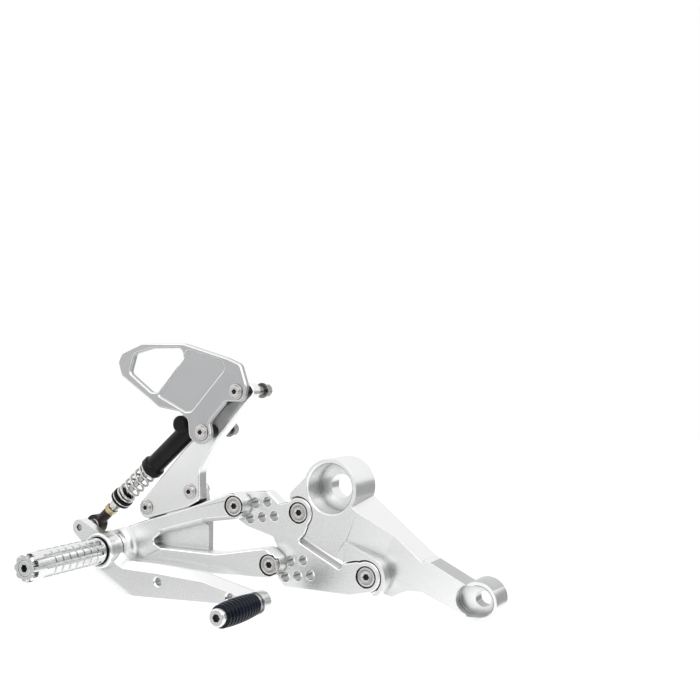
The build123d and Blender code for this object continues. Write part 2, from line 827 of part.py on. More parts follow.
parts = {
    "frame_plate": frame_plate(),
    "adjuster_plate": adjuster_plate(),
    "adjuster_screws": Compound([flat_screw(place, face_a, -back_relief) for place in ear_bolts]),
    "step_plate": step_plate(),
    "step_screws": Compound([flat_screw(place, step_face, adjuster_back) for place in step_bolts]),
    "guard_bracket": guard_bracket(),
    "bracket_screws": Compound(
        [button_screw(place, step_face, bracket_screw_end) for place in bracket_bolt_places]
    ),
    "bracket_nuts": Compound([flange_nut(place, face_a, m6_nut_height) for place in bracket_bolt_places]),
    "heel_guard": heel_guard(),
    "guard_screws": Compound(
        [button_screw(place, guard_face, guard_screw_end) for place in guard_bolt_places]
    ),
    "guard_nuts": Compound(
        [flange_nut(place, guard_nut_level, guard_nut_height) for place in guard_bolt_places]
    ),
    "guard_spacers": Compound([guard_spacer(place) for place in guard_bolt_places]),
    "footpeg": footpeg(),
    "footpeg_bolt": footpeg_bolt(),
    "pivot_sleeve": pivot_ring(sleeve_radius, peg_bolt_radius + thread_clearance, pivot_face, peg_base),
    "thrust_washer": pivot_ring(washer_radius, bush_bore, pivot_face, pivot_face - washer_thickness),
    "pivot_seal": pivot_ring(seal_radius, bush_bore, peg_base + seal_thickness, peg_base),
    "brake_pedal": brake_pedal(),
    "pedal_bush": pivot_ring(bush_bore + bush_wall, bush_bore, hub_back, hub_face),
    "toe_peg_core": toe_peg_core(),
    "toe_peg_rubber": toe_peg_rubber(),
    "toe_peg_bolt": toe_peg_bolt(),
    "rod_end_ball": rod_end_ball(),
    "rod_end_spacer": rod_end_spacer(),
    "rod_end_bolt": rod_end_bolt(),
    "rod_end": rod_end(),
    "push_rod": push_rod(),
    "lock_nut": along_cylinder(
        hex_prism(lock_nut_across_flats, rod_end_length, nut_end) - rod(rod_hole, rod_end_length, nut_end)
    ),
    "seat_cone": along_cylinder(
        turned(
            (rod_hole, nut_end), (cone_small_radius, nut_end),
            (cone_large_radius, cone_end), (rod_hole, cone_end),
        )
    ),
    "spring_seat": along_cylinder(
        turned(
            (rod_hole, cone_end), (seat_radius, cone_end), (seat_radius, ring_start),
            (ring_bore, ring_start), (ring_bore, ring_end), (seat_radius, ring_end),
            (seat_radius, seat_end), (rod_hole, seat_end),
        )
    ),
    "seat_ring": along_cylinder(tube(seat_radius, ring_bore, ring_start, ring_end)),
    "return_spring": along_cylinder(coil(spring_wire, spring_radius, spring_turns, seat_end, flange_start)),
    "master_body": master_body(),
    "inlet_cap": inlet_cap(),
    "dust_boot": along_cylinder(tube(bore_radius, boot_bore, flange_start, clip_start)),
    "circlip": along_cylinder(
        tube(bore_radius + clip_groove_depth, stop_washer_bore, clip_start, washer_start)
    ),
    "stop_washer": along_cylinder(
        tube(bore_radius, stop_washer_bore, washer_start, washer_start + stop_washer_thickness)
    ),
    "piston": piston(),
    "rear_cup": cup_seal(rear_cup_start),
    "front_cup": cup_seal(front_cup_start),
    "piston_spring": along_cylinder(
        coil(inner_spring_wire, inner_spring_radius, inner_spring_turns, piston_end, bore_end)
    ),
}
for name, solid in parts.items():
    export_step(solid, f"parts/{name}.step")
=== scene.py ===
import json
import math

import bmesh
import bpy
from bpy.props import FloatProperty, FloatVectorProperty, IntProperty, PointerProperty
from mathutils import Matrix, Vector


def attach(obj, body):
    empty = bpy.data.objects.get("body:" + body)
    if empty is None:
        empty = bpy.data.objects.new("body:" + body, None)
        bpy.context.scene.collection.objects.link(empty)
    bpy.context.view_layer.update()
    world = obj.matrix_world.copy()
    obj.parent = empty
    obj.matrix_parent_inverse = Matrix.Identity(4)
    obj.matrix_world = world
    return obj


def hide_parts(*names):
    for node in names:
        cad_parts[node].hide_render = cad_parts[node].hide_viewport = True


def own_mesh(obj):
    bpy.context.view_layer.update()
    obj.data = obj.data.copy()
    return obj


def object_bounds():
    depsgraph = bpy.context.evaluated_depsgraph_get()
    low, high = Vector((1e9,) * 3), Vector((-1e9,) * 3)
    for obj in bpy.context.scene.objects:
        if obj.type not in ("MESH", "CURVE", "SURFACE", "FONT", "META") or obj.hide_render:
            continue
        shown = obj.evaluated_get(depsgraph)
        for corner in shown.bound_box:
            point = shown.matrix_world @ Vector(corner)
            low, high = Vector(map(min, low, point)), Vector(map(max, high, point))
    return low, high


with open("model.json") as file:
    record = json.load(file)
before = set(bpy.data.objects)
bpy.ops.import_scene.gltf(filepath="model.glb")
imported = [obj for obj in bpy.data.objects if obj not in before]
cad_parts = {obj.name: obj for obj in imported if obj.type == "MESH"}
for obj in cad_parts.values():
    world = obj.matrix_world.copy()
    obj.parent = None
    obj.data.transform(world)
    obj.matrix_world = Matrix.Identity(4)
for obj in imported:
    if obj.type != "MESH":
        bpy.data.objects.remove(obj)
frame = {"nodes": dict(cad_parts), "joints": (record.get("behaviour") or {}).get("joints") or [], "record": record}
cad_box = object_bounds()

bl_info = {
    "name": "Rear Set",
    "version": (1, 0, 0),
    "blender": (4, 5, 0),
    "location": "3D Viewport > Sidebar > Rear Set",
    "description": "Dresses the brake side of a motorcycle rear set in its finishes",
    "category": "Add Mesh",
}

MM = 0.001
joints = {joint["name"]: joint for joint in frame["joints"]}
body_of_node = {
    node: body for body, nodes in frame["record"]["behaviour"]["bodies"].items() for node in nodes
}
pivot = Vector(joints["pedal_pivot"]["pos_m"])
pin = Vector(joints["rod_end_pivot"]["pos_m"])
cylinder_axis = Vector(joints["piston_slide"]["axis"])

# Local z of this frame runs up the master cylinder from the centre of the rod end's ball
cylinder_frame = Matrix.Translation(pin) @ cylinder_axis.to_track_quat("Z", "Y").to_matrix().to_4x4()
# The slope from the frame plate's thick end down to its arm looks this way
arm_slope = Vector((0.34, -0.92, -0.19)).normalized()
# The slot's lower wall in the adjuster plate looks this way
slot_wall = Vector((0.45, 0, 0.89)).normalized()
# Turns local z outboard
outboard_turn = Matrix.Rotation(math.radians(90), 4, "X")

# Degrees past which an edge is broken, and past which the faces beside it aren't shaded as one
broken_angle = 28
smooth_angle = 40
# Least cosine at which a face lies in the plates' plane, lies on the slope, and is the slot's wall
flat_limit = 0.9995
slope_limit = 0.999
wall_limit = 0.99
# A face whose normal has less y than this looks outboard
outboard_limit = -0.95
# The slope from the frame plate's thick end shades by this share like the flat faces beside it
slope_blend = 0.93
# The top of the frame plate's arm beyond here gets a painted shade, where the lower boss shades it
shaded_from_x = 84 * MM
# Faces this near to the pedal's pivot are blends, not bevels
hub_reach = 26 * MM

# Lamps by name: place, width and share of the key power
lamps = {
    "key": ((0.9, -1.1, 1.5), 1.6, 1.0),
    "fill": ((-1.3, -0.9, 0.9), 1.4, 0.35),
}
# Cards that the metal mirrors, by name: place, width and height
cards = {
    "grey_card": ((-0.70, -0.88, -0.26), (0.80, 0.30)),
    "shade_card": ((0.586, -1.10, 0.0), (0.85, 0.8)),
    "dark_card": ((0.42, 0.95, -0.16), (1.1, 0.52)),
}


# Sizes and colours


class RearSetSizes(bpy.types.PropertyGroup):
    """Sizes of the details that the finished pieces add to the solids."""

    plate_edge: FloatProperty(
        name="Plate edge", description="Width of the broken edges of the machined plates",
        default=0.3 * MM, unit="LENGTH", precision=5,
    )
    fine_edge: FloatProperty(
        name="Fine edge", description="Width of the broken edges of small turned pieces",
        default=0.15 * MM, unit="LENGTH", precision=5,
    )
    screw_sides: IntProperty(
        name="Screw sides", description="Sides of the round faces of screws and nuts",
        default=48, min=12, subtype="UNSIGNED",
    )
    toe_ribs: IntProperty(
        name="Toe peg ribs", description="Ribs along the toe peg's rubber",
        default=11, min=1, subtype="UNSIGNED",
    )
    spring_turns: FloatProperty(
        name="Return spring turns", description="Turns of the coil spring round the push rod",
        default=7.0, subtype="UNSIGNED",
    )
    spring_wire: FloatProperty(
        name="Return spring wire", description="Diameter of the return spring's wire",
        default=2.4 * MM, unit="LENGTH", precision=5,
    )
    spring_radius: FloatProperty(
        name="Return spring radius", description="Radius of the return spring at the middle of its wire",
        default=8.0 * MM, unit="LENGTH", precision=5,
    )
    piston_spring_turns: FloatProperty(
        name="Piston spring turns", description="Turns of the spring ahead of the piston",
        default=8.0, subtype="UNSIGNED",
    )
    piston_spring_wire: FloatProperty(
        name="Piston spring wire", description="Diameter of the piston spring's wire",
        default=1.1 * MM, unit="LENGTH", precision=5,
    )
    piston_spring_radius: FloatProperty(
        name="Piston spring radius", description="Radius of the piston spring at the middle of its wire",
        default=4.3 * MM, unit="LENGTH", precision=5,
    )


class RearSetFinishes(bpy.types.PropertyGroup):
    """Colours of the finishes."""

    aluminium: FloatVectorProperty(
        name="Aluminium", description="Blasted and anodised faces of the plates", subtype="COLOR",
        default=(0.88, 0.885, 0.885), min=0, max=1,
    )
    # Painted shade: a darker copy of the aluminium
    shaded: FloatVectorProperty(
        name="Shaded aluminium", description="Top of the frame plate's arm by its lower boss",
        subtype="COLOR", default=(0.55, 0.555, 0.56), min=0, max=1,
    )
    # Cut bevels are brighter than blasted faces; along a plate's faces they keep this colour only where they look
    # up, as a painted highlight
    cut_edge: FloatVectorProperty(
        name="Cut edge", description="Bright bevels cut after blasting", subtype="COLOR",
        default=(0.90, 0.90, 0.90), min=0, max=1,
    )
    guard: FloatVectorProperty(
        name="Heel guard", description="Satin faces of the heel guard", subtype="COLOR",
        default=(0.46, 0.465, 0.47), min=0, max=1,
    )
    guard_panel: FloatVectorProperty(
        name="Guard panel", description="Sunk panel of the heel guard", subtype="COLOR",
        default=(0.47, 0.475, 0.48), min=0, max=1,
    )
    turned: FloatVectorProperty(
        name="Turned aluminium", description="Bright turned footpeg and toe peg", subtype="COLOR",
        default=(0.84, 0.845, 0.85), min=0, max=1,
    )
    stainless: FloatVectorProperty(
        name="Stainless steel", description="Screws, washers and sleeves", subtype="COLOR",
        default=(0.60, 0.59, 0.575), min=0, max=1,
    )
    chrome: FloatVectorProperty(
        name="Chrome", description="Plated spring, nuts and push rod", subtype="COLOR",
        default=(0.62, 0.615, 0.60), min=0, max=1,
    )
    plated: FloatVectorProperty(
        name="Plated steel", description="Nuts and spacers behind the heel guard", subtype="COLOR",
        default=(0.30, 0.30, 0.29), min=0, max=1,
    )
    black_oxide: FloatVectorProperty(
        name="Black oxide", description="Blackened steel", subtype="COLOR",
        default=(0.045, 0.045, 0.048), min=0, max=1,
    )
    phosphate: FloatVectorProperty(
        name="Phosphate", description="Dark brown rod end", subtype="COLOR",
        default=(0.022, 0.015, 0.012), min=0, max=1,
    )
    zinc: FloatVectorProperty(
        name="Yellow zinc", description="Passivated zinc plate on the lock nut", subtype="COLOR",
        default=(0.58, 0.48, 0.28), min=0, max=1,
    )
    black_body: FloatVectorProperty(
        name="Cylinder body", description="Black anodised master cylinder", subtype="COLOR",
        default=(0.010, 0.010, 0.011), min=0, max=1,
    )
    rubber: FloatVectorProperty(
        name="Rubber", description="Seals and boot", subtype="COLOR",
        default=(0.008, 0.008, 0.009), min=0, max=1,
    )
    toe_rubber: FloatVectorProperty(
        name="Toe rubber", description="Ribbed sleeve of the toe peg", subtype="COLOR",
        default=(0.005, 0.008, 0.018), min=0, max=1,
    )
    bronze: FloatVectorProperty(
        name="Bronze", description="Sintered bush in the pedal's hub", subtype="COLOR",
        default=(0.50, 0.33, 0.15), min=0, max=1,
    )


class RearSetStage(bpy.types.PropertyGroup):
    """Camera, floor and lights."""

    camera_place: FloatVectorProperty(
        name="Camera place", description="Where the camera stands", subtype="TRANSLATION", unit="LENGTH",
        default=(0.404, -0.7784, 0.1054),
    )
    camera_aim: FloatVectorProperty(
        name="Camera aim", description="A point in the middle of the view", subtype="TRANSLATION",
        unit="LENGTH", default=(-0.0108, 0.0203, 0.1143),
    )
    camera_roll: FloatProperty(
        name="Camera roll", description="Turn of the camera about its own axis", subtype="ANGLE",
        default=math.radians(0.3),
    )
    focal_length: FloatProperty(
        name="Focal length", description="Focal length on a 36 mm sensor", default=52.97, unit="CAMERA",
    )
    floor_drop: FloatProperty(
        name="Floor drop", description="How far the floor lies below the object",
        default=0.30, unit="LENGTH",
    )
    sky_light: FloatProperty(
        name="Sky light", description="Strength of the even light from all round",
        default=0.75, subtype="FACTOR",
    )
    key_power: FloatProperty(
        name="Key power", description="Power of the large soft lamp", default=9.0, unit="POWER",
    )
    floor_white: FloatProperty(
        name="Floor white", description="What the floor adds to its own brightness where it is seen",
        default=0.38, subtype="FACTOR",
    )
    grey_card: FloatProperty(
        name="Grey card", description="Brightness of the card that the plates' faces mirror",
        default=0.60, subtype="FACTOR",
    )
    shade_card: FloatProperty(
        name="Shade card", description="Brightness of the card that blends and pockets mirror",
        default=0.25, subtype="FACTOR",
    )
    dark_card: FloatProperty(
        name="Dark card", description="Brightness of the card that the side walls mirror",
        default=0.35, subtype="FACTOR",
    )


# Meshes


def merged(node):
    """A copy of a CAD node with its triangles joined and its flat faces whole."""
    shape = bmesh.new()
    shape.from_mesh(frame["nodes"][node].data)
    bmesh.ops.remove_doubles(shape, verts=shape.verts, dist=1e-6)
    bmesh.ops.dissolve_limit(
        shape, angle_limit=math.radians(0.5), verts=shape.verts, edges=shape.edges,
        use_dissolve_boundaries=False,
    )
    return shape


def solids_of(node):
    """The lowest and highest corner of each separate solid of a CAD node."""
    shape = merged(node)
    left = set(shape.verts)
    boxes = []
    while left:
        island = [left.pop()]
        corners = []
        while island:
            vert = island.pop()
            corners.append(vert.co.copy())
            for edge in vert.link_edges:
                other = edge.other_vert(vert)
                if other in left:
                    left.remove(other)
                    island.append(other)
        low = Vector(min(corner[i] for corner in corners) for i in range(3))
        high = Vector(max(corner[i] for corner in corners) for i in range(3))
        boxes.append((low, high))
    shape.free()
    return sorted(boxes, key=lambda box: box[0].x)


def new_object(name, data):
    """An object of a mesh, lamp or camera, linked to the scene."""
    item = bpy.data.objects.new(name, data)
    bpy.context.scene.collection.objects.link(item)
    return item


def mesh_from(name, shape):
    bmesh.ops.recalc_face_normals(shape, faces=shape.faces)
    mesh = bpy.data.meshes.new(name)
    shape.to_mesh(mesh)
    shape.free()
    return mesh


def baked(piece):
    """Turns a piece with modifiers into a plain mesh."""
    graph = bpy.context.evaluated_depsgraph_get()
    mesh = bpy.data.meshes.new_from_object(piece.evaluated_get(graph))
    piece.modifiers.clear()
    piece.data = mesh
    return mesh


def smoothed(mesh, angle):
    """Smooth shading with sharp edges past an angle."""
    mesh.polygons.foreach_set("use_smooth", [True] * len(mesh.polygons))
    mesh.set_sharp_from_angle(angle=math.radians(angle))


def settle(piece, node):
    """The piece stands for a CAD node, whose mesh is hidden, and moves with its body."""
    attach(piece, body_of_node[node])
    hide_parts(node)


def even_faces(mesh):
    """The flat faces of a plate shade evenly up to their edges, and a gentle slope nearly like them."""
    normals = [corner.vector.copy() for corner in mesh.corner_normals]
    for face in mesh.polygons:
        normal = None
        if abs(face.normal.y) > flat_limit:
            normal = face.normal.copy()
        elif face.normal.dot(arm_slope) > slope_limit:
            normal = face.normal.lerp(Vector((0, -1, 0)), slope_blend).normalized()
        if normal:
            for index in face.loop_indices:
                normals[index] = normal
    mesh.normals_split_custom_set(normals)


def edged(node, width, finishes, whole=True):
    """A finished copy of a CAD node with its edges broken. The last finish goes on the broken edges.

    With whole off, faces of more than four corners are cut into triangles first, because large faces
    with many holes shade badly once their edges are broken.
    """
    mesh = bpy.data.meshes.new(node + "_finished")
    shape = merged(node)
    if not whole:
        bmesh.ops.triangulate(shape, faces=[face for face in shape.faces if len(face.verts) > 4])
    shape.to_mesh(mesh)
    shape.free()
    piece = new_object(node + "_finished", mesh)
    for coat in finishes:
        mesh.materials.append(coat)
    bevel = piece.modifiers.new("edges", "BEVEL")
    bevel.width = width
    bevel.segments = 2
    bevel.limit_method = "ANGLE"
    bevel.angle_limit = math.radians(broken_angle)
    bevel.use_clamp_overlap = False
    bevel.material = len(finishes) - 1
    smoothed(baked(piece), smooth_angle)
    weights = piece.modifiers.new("normals", "WEIGHTED_NORMAL")
    weights.keep_sharp = True
    even_faces(baked(piece))
    settle(piece, node)
    return piece


def bright_slopes(piece, index, low=0.3, high=0.9, keep_off=None):
    """Puts a finish on the faces that slope like a bevel of a plate and look up, except near a place, as a painted
    highlight; such faces that look down get the first finish.
    """
    for face in piece.data.polygons:
        if not low < abs(face.normal.y) < high:
            continue
        if keep_off and (face.center - keep_off[0]).xz.length < keep_off[1]:
            continue
        face.material_index = index if face.normal.z > -0.05 else 0


def paint_socket_shade(piece, index, reach, depth):
    """Puts a dark finish on the inside of the socket in a bolt's outboard end, as painted shade."""
    corners = [vert.co for vert in piece.data.vertices]
    middle = Vector((max(co[i] for co in corners) + min(co[i] for co in corners)) / 2 for i in range(3))
    top = min(co.y for co in corners)
    for face in piece.data.polygons:
        inside = (face.center - middle).xz.length < reach
        if inside and 0.05 * MM < face.center.y - top < depth:
            face.material_index = index


# Finishes


def reckoned(tree, operation, first, second):
    """The result of a sum in a node tree, whose terms are sockets or numbers."""
    node = tree.nodes.new("ShaderNodeMath")
    node.operation = operation
    for socket, value in zip(node.inputs, [first, second]):
        if isinstance(value, bpy.types.NodeSocket):
            tree.links.new(value, socket)
        else:
            socket.default_value = value
    return node.outputs["Value"]


def blank_finish(name):
    material = bpy.data.materials.new(name)
    material.use_nodes = True
    return material, material.node_tree, material.node_tree.nodes["Principled BSDF"]


def object_noise(tree, scale, detail=2.0, stretch=(1, 1, 1)):
    """Noise on object coordinates, stretched along the piece where the marks run one way."""
    place = tree.nodes.new("ShaderNodeTexCoord")
    mapping = tree.nodes.new("ShaderNodeMapping")
    mapping.inputs["Scale"].default_value = stretch
    noise = tree.nodes.new("ShaderNodeTexNoise")
    noise.inputs["Scale"].default_value = scale
    noise.inputs["Detail"].default_value = detail
    tree.links.new(place.outputs["Object"], mapping.inputs["Vector"])
    tree.links.new(mapping.outputs["Vector"], noise.inputs["Vector"])
    return noise.outputs["Fac"]


def spread(tree, value, low, high):
    """Stretches the middle of a noise to run from a low value to a high one."""
    scale = tree.nodes.new("ShaderNodeMapRange")
    scale.inputs["From Min"].default_value = 0.3
    scale.inputs["From Max"].default_value = 0.7
    scale.inputs["To Min"].default_value = low
    scale.inputs["To Max"].default_value = high
    tree.links.new(value, scale.inputs["Value"])
    return scale.outputs["Result"]


def tint(tree, value, dark, light):
    """A colour between two others, the second of which may come from a socket."""
    mix = tree.nodes.new("ShaderNodeMix")
    mix.data_type = "RGBA"
    sockets = {socket.identifier: socket for socket in mix.inputs}
    sockets["A_Color"].default_value = (*dark, 1)
    if isinstance(light, bpy.types.NodeSocket):
        tree.links.new(light, sockets["B_Color"])
    else:
        sockets["B_Color"].default_value = (*light, 1)
    tree.links.new(value, sockets["Factor_Float"])
    return next(socket for socket in mix.outputs if socket.identifier == "Result_Color")


def crevices(tree, reach, open_at, top=1.0, low=0.0):
    """By ambient occlusion, falls from its top value on open faces to its low one in gaps, holes and grooves; the
    finishes paint shade, and in places light, with it.
    """
    closeness = tree.nodes.new("ShaderNodeAmbientOcclusion")
    closeness.samples = 8
    closeness.inputs["Distance"].default_value = reach
    scale = tree.nodes.new("ShaderNodeMapRange")
    scale.inputs["From Min"].default_value = 0.25
    scale.inputs["From Max"].default_value = open_at
    scale.inputs["To Min"].default_value = low
    scale.inputs["To Max"].default_value = top
    tree.links.new(closeness.outputs["AO"], scale.inputs["Value"])
    return scale.outputs["Result"]


def shade(colour, amount):
    return tuple(channel * amount for channel in colour)


def relief(tree, shader, height, depth):
    bump = tree.nodes.new("ShaderNodeBump")
    bump.inputs["Strength"].default_value = 1.0
    bump.inputs["Distance"].default_value = depth
    tree.links.new(height, bump.inputs["Height"])
    tree.links.new(bump.outputs["Normal"], shader.inputs["Normal"])


# Reach of the painted shade in narrow gaps and in wide hollows, and of the painted light where a metal stops
# mirroring in its hollows
gap_reach = 2.5 * MM
hollow_reach = 12 * MM
painted_light_reach = 20 * MM
# Reach of the painted shade by which a coating loses its gloss in gaps
coat_reach = 2.0 * MM
# What painted shade leaves of a colour in a gap or hollow
gap_shade = 0.06
# Roughness runs between these shares of its value
least_rough = 0.85
most_rough = 1.15


def metal(
    name, colour, rough, uneven, grain, depth, stretch=(1, 1, 1), open_at=0.7, hollow=0.4, matt=False
):
    """A metal with a fine grain, a little uneven in colour and gloss, with painted shade in its gaps.

    Painted shade keeps the hollow share of its colour in wide hollows, and painted light makes one stop mirroring
    there, so that it shows lit.
    """
    material, tree, shader = blank_finish(name)
    shader.inputs["Metallic"].default_value = 1.0
    # Painted light: in its hollows the metal stops mirroring and turns diffuse, so that it shows lit
    if matt:
        tree.links.new(crevices(tree, painted_light_reach, 0.85), shader.inputs["Metallic"])
    broad = object_noise(tree, 28.0, 3.0)
    fine = object_noise(tree, grain, 2.0, stretch)
    colours = tint(tree, spread(tree, broad, 0.0, 1.0), shade(colour, 1 - uneven), colour)
    # Painted shade: the colour darkens in wide hollows and more in narrow gaps
    colours = tint(tree, crevices(tree, hollow_reach, 0.8, low=hollow), shade(colour, gap_shade), colours)
    colours = tint(tree, crevices(tree, gap_reach, open_at), shade(colour, gap_shade), colours)
    tree.links.new(colours, shader.inputs["Base Color"])
    gloss = spread(tree, fine, rough * least_rough, rough * most_rough)
    tree.links.new(gloss, shader.inputs["Roughness"])
    relief(tree, shader, fine, depth)
    return material


def coated(name, colour, rough, uneven, grain, depth, specular=0.5):
    """A plastic, rubber or dark coated surface with a fine moulded grain."""
    material, tree, shader = blank_finish(name)
    # Painted shade: the gloss falls away in gaps, so that they read dark
    tree.links.new(crevices(tree, coat_reach, 0.9, specular), shader.inputs["Specular IOR Level"])
    broad = object_noise(tree, 60.0, 4.0)
    fine = object_noise(tree, grain, 3.0)
    patches = spread(tree, broad, 0.0, 1.0)
    colours = tint(tree, patches, shade(colour, 1 - uneven), shade(colour, 1 + uneven))
    tree.links.new(colours, shader.inputs["Base Color"])
    gloss = spread(tree, broad, rough * least_rough, rough * most_rough)
    tree.links.new(gloss, shader.inputs["Roughness"])
    relief(tree, shader, fine, depth)
    return material


# Finishes by name: maker, colour, roughness, unevenness, grain, depth of the grain and what else is set
finish_table = {
    "blasted_aluminium": (metal, "aluminium", 0.28, 0.04, 2600.0, 0.006 * MM, {}),
    # Painted light: aluminium that stops mirroring in its hollows, for the bracket's face in the heel guard's
    # shade
    "matt_aluminium": (
        metal, "aluminium", 0.30, 0.04, 2600.0, 0.006 * MM, {"hollow": 0.9, "matt": True},
    ),
    # Painted light: a bright copy of the cut edge that doesn't mirror, for the slot's wall, which shows lit
    "bright_wall": (
        metal, "cut_edge", 0.30, 0.02, 1500.0, 0.002 * MM, {"open_at": 0.3, "hollow": 1.0, "matt": True},
    ),
    "shaded_aluminium": (metal, "shaded", 0.30, 0.10, 2600.0, 0.006 * MM, {}),
    "cut_edge": (metal, "cut_edge", 0.20, 0.02, 1500.0, 0.001 * MM, {}),
    "guard_panel": (metal, "guard_panel", 0.40, 0.05, 2600.0, 0.006 * MM, {}),
    "guard_aluminium": (metal, "guard", 0.40, 0.06, 2600.0, 0.006 * MM, {}),
    "turned_aluminium": (
        metal, "turned", 0.18, 0.03, 900.0, 0.002 * MM,
        {"stretch": (1, 6, 1), "open_at": 0.95, "hollow": 0.2},
    ),
    "stainless_steel": (metal, "stainless", 0.26, 0.12, 1400.0, 0.004 * MM, {"open_at": 0.95}),
    "chrome": (metal, "chrome", 0.10, 0.05, 700.0, 0.001 * MM, {"open_at": 0.9}),
    "plated_steel": (metal, "plated", 0.20, 0.08, 900.0, 0.002 * MM, {}),
    # Painted shade: the inside of a socket takes the black oxide colour
    "deep_socket": (coated, "black_oxide", 0.45, 0.3, 1500.0, 0.005 * MM, {"specular": 0.1}),
    "black_oxide": (coated, "black_oxide", 0.38, 0.3, 1500.0, 0.005 * MM, {}),
    "phosphate": (coated, "phosphate", 0.28, 0.35, 1300.0, 0.008 * MM, {"specular": 0.3}),
    "yellow_zinc": (metal, "zinc", 0.26, 0.25, 900.0, 0.003 * MM, {}),
    "black_body": (coated, "black_body", 0.30, 0.2, 1800.0, 0.006 * MM, {"specular": 0.14}),
    "black_plastic": (coated, "rubber", 0.42, 0.2, 1200.0, 0.008 * MM, {"specular": 0.14}),
    "rubber": (coated, "rubber", 0.62, 0.25, 900.0, 0.012 * MM, {"specular": 0.12}),
    "toe_rubber": (coated, "toe_rubber", 0.26, 0.3, 800.0, 0.010 * MM, {"specular": 0.18}),
    "bronze": (metal, "bronze", 0.42, 0.2, 1100.0, 0.008 * MM, {}),
}


def finish(name):
    """A finish by name, made the first time that it is asked for."""
    label = name + "_finish"
    if label in bpy.data.materials:
        return bpy.data.materials[label]
    maker, colour, rough, uneven, grain, depth, others = finish_table[name]
    colours = bpy.context.scene.rear_set_finishes
    return maker(label, tuple(getattr(colours, colour)), rough, uneven, grain, depth, **others)


# Geometry Nodes


def tree_with(name, inputs):
    """An empty node tree with named inputs and one geometry output."""
    tree = bpy.data.node_groups.new(name, "GeometryNodeTree")
    for label, kind in inputs:
        tree.interface.new_socket(label, in_out="INPUT", socket_type=kind)
    tree.interface.new_socket("Geometry", in_out="OUTPUT", socket_type="NodeSocketGeometry")
    source = tree.nodes.new("NodeGroupInput")
    result = tree.nodes.new("NodeGroupOutput")
    return tree, source, result


def grown(name, mesh, tree, values):
    """The plain mesh that a node tree makes, with the tree's inputs set by their identifiers."""
    piece = new_object(name, mesh)
    modifier = piece.modifiers.new("nodes", "NODES")
    modifier.node_group = tree
    for socket in tree.interface.items_tree:
        if socket.in_out == "INPUT" and socket.name in values:
            modifier[socket.identifier] = values[socket.name]
    bpy.context.view_layer.update()
    baked(piece)
    return piece


def coil_tree():
    """A closed-end coil spring: a spiral whose first and last turns lie flat, swept with round wire."""
    if "coil_spring" in bpy.data.node_groups:
        return bpy.data.node_groups["coil_spring"]
    tree, source, result = tree_with(
        "coil_spring",
        [
            ("Turns", "NodeSocketFloat"), ("Coil Radius", "NodeSocketFloat"),
            ("Wire Radius", "NodeSocketFloat"), ("Length", "NodeSocketFloat"),
            ("Finish", "NodeSocketMaterial"),
        ],
    )
    links = tree.links
    spiral = tree.nodes.new("GeometryNodeCurveSpiral")
    spiral.inputs["Resolution"].default_value = 36
    links.new(source.outputs["Turns"], spiral.inputs["Rotations"])
    links.new(source.outputs["Coil Radius"], spiral.inputs["Start Radius"])
    links.new(source.outputs["Coil Radius"], spiral.inputs["End Radius"])
    spiral.inputs["Height"].default_value = 0.0
    along = tree.nodes.new("GeometryNodeSplineParameter")
    rise = tree.nodes.new("ShaderNodeFloatCurve")
    curve = rise.mapping.curves[0]
    curve.points.new(0.16, 0.055)
    curve.points.new(0.84, 0.945)
    for point in curve.points:
        point.handle_type = "VECTOR"
    rise.mapping.update()
    links.new(along.outputs["Factor"], rise.inputs["Value"])
    travel = reckoned(tree, "MULTIPLY", rise.outputs["Value"], source.outputs["Length"])
    lift = tree.nodes.new("ShaderNodeCombineXYZ")
    links.new(travel, lift.inputs["Z"])
    place = tree.nodes.new("GeometryNodeSetPosition")
    links.new(spiral.outputs["Curve"], place.inputs["Geometry"])
    links.new(lift.outputs["Vector"], place.inputs["Offset"])
    wire = tree.nodes.new("GeometryNodeCurvePrimitiveCircle")
    wire.inputs["Resolution"].default_value = 16
    links.new(source.outputs["Wire Radius"], wire.inputs["Radius"])
    sweep = tree.nodes.new("GeometryNodeCurveToMesh")
    sweep.inputs["Fill Caps"].default_value = True
    links.new(place.outputs["Geometry"], sweep.inputs["Curve"])
    links.new(wire.outputs["Curve"], sweep.inputs["Profile Curve"])
    close_tree(tree, sweep.outputs["Mesh"], source, result)
    return tree


def set_tree():
    """The same piece at each of some places, with a dark finish of its own in its socket as painted shade."""
    if "set_of_pieces" in bpy.data.node_groups:
        return bpy.data.node_groups["set_of_pieces"]
    tree, source, result = tree_with(
        "set_of_pieces",
        [
            ("Places", "NodeSocketGeometry"), ("Piece", "NodeSocketObject"),
            ("Finish", "NodeSocketMaterial"), ("Socket Finish", "NodeSocketMaterial"),
        ],
    )
    piece = tree.nodes.new("GeometryNodeObjectInfo")
    spots = tree.nodes.new("GeometryNodeInstanceOnPoints")
    tree.links.new(source.outputs["Piece"], piece.inputs["Object"])
    tree.links.new(source.outputs["Places"], spots.inputs["Points"])
    tree.links.new(piece.outputs["Geometry"], spots.inputs["Instance"])
    close_tree(tree, spots.outputs["Instances"], source, result)
    painted = result.inputs["Geometry"].links[0].from_socket
    deep = tree.nodes.new("GeometryNodeInputNamedAttribute")
    deep.data_type = "BOOLEAN"
    deep.inputs["Name"].default_value = "socket"
    paint = tree.nodes.new("GeometryNodeSetMaterial")
    tree.links.new(painted, paint.inputs["Geometry"])
    tree.links.new(deep.outputs["Attribute"], paint.inputs["Selection"])
    tree.links.new(source.outputs["Socket Finish"], paint.inputs["Material"])
    tree.links.new(paint.outputs["Geometry"], result.inputs["Geometry"])
    return tree


